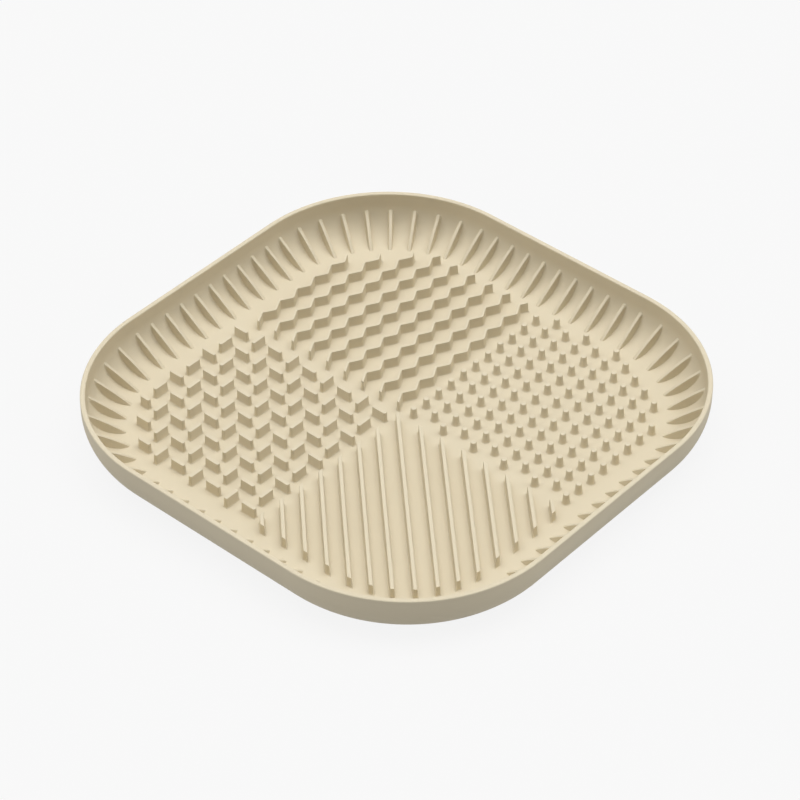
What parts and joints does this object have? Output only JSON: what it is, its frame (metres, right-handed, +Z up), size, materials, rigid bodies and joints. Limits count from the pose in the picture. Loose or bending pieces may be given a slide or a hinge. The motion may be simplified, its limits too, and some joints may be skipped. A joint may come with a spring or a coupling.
{
  "type": "pet lick bowl",
  "caption": "Shallow rounded-square silicone lick bowl: a low upright wall on a rounded foot, with inner fins, and a floor in four fields of zigzags, bars, pegs and ribs that slow a pet's licking.",
  "frame": {"origin": "centre of the flat underside, on the surface that the bowl rests on", "axes": "+Z up through the mouth of the bowl; X and Y along its straight sides, zigzags at -X +Y, bars at -X -Y, pegs at +X +Y, ribs at +X -Y"},
  "size_m": [0.195, 0.195, 0.0195],
  "materials": {
    "silicone": "matte moulded silicone, warm beige"
  },
  "bodies": {
    "root": {"base_plate": "silicone", "side_wall": "silicone", "fins_right": "silicone", "fins_back": "silicone", "fins_left": "silicone", "fins_front": "silicone", "fins_back_right": "silicone", "fins_back_left": "silicone", "fins_front_left": "silicone", "fins_front_right": "silicone", "zigzag_ridges": "silicone", "parquet_bars": "silicone", "licking_pegs": "silicone", "straight_ribs": "silicone"}
  },
  "joints": []
}
